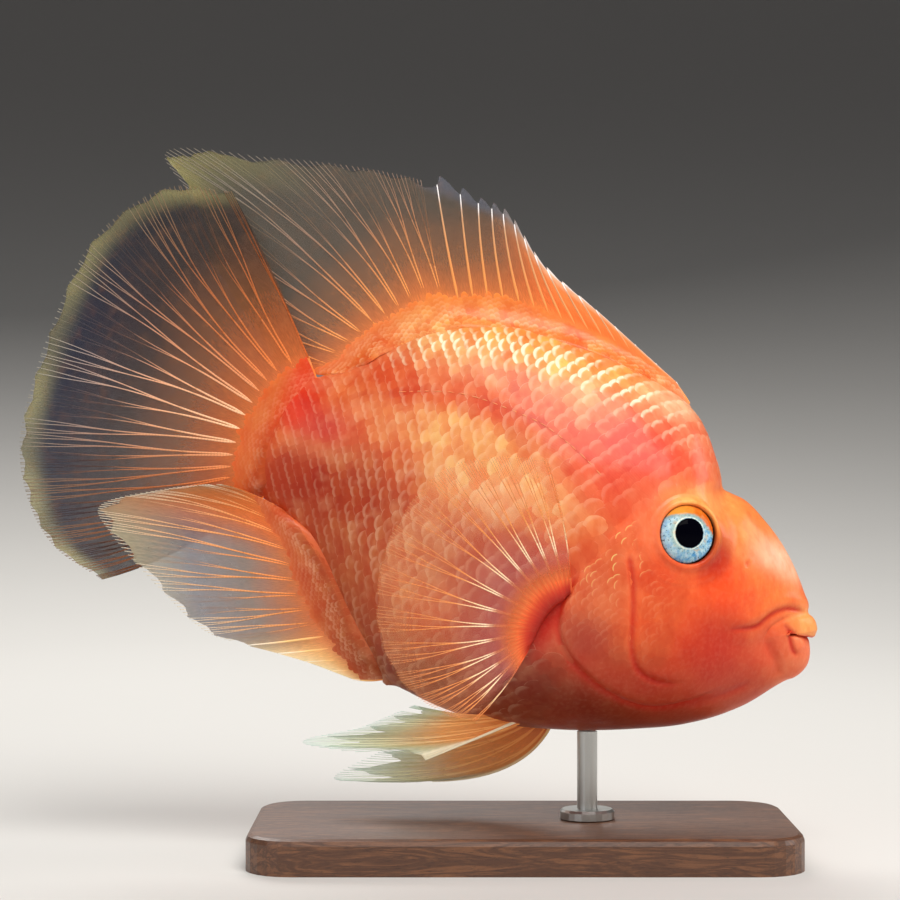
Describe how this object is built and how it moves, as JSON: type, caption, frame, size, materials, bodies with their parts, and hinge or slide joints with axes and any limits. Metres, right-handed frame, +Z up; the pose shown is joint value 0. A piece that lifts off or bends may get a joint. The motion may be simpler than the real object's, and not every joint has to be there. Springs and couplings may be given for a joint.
{
  "type": "blood parrot cichlid",
  "caption": "Life-size still model of a deep-bodied aquarium cichlid swimming nose down, with ridged fins spread, held over a flat base by one short rod.",
  "frame": {"origin": "middle of the flat underside of the stand's base", "axes": "+X the way the fish faces, +Y to its left side, +Z up; the fish's own axis is turned 19.5 degrees nose down about Y"},
  "size_m": [0.205, 0.0815, 0.1808],
  "materials": {
    "skin": "wet scaly fish skin, orange to orange-red with paler scale rims and patches",
    "fins": "thin see-through fin membrane over orange to cream rays, smoky blue towards the edges",
    "eyes": "pale blue iris round a black pupil, under a clear glossy cornea",
    "stand_wood": "dark satin walnut",
    "stand_steel": "fine satin steel"
  },
  "bodies": {
    "root": {"head": "skin", "trunk": "skin", "tail_base": "skin", "gill_cover_right": "skin", "gill_cover_left": "skin", "dorsal_fin": "fins", "anal_fin": "fins", "tail_fin": "fins", "pectoral_fin_right": "fins", "pectoral_fin_left": "fins", "pelvic_fin_right": "fins", "pelvic_fin_left": "fins", "eye_right": "eyes", "eye_left": "eyes", "stand_base": "stand_wood", "stand_rod": "stand_steel"}
  },
  "joints": []
}
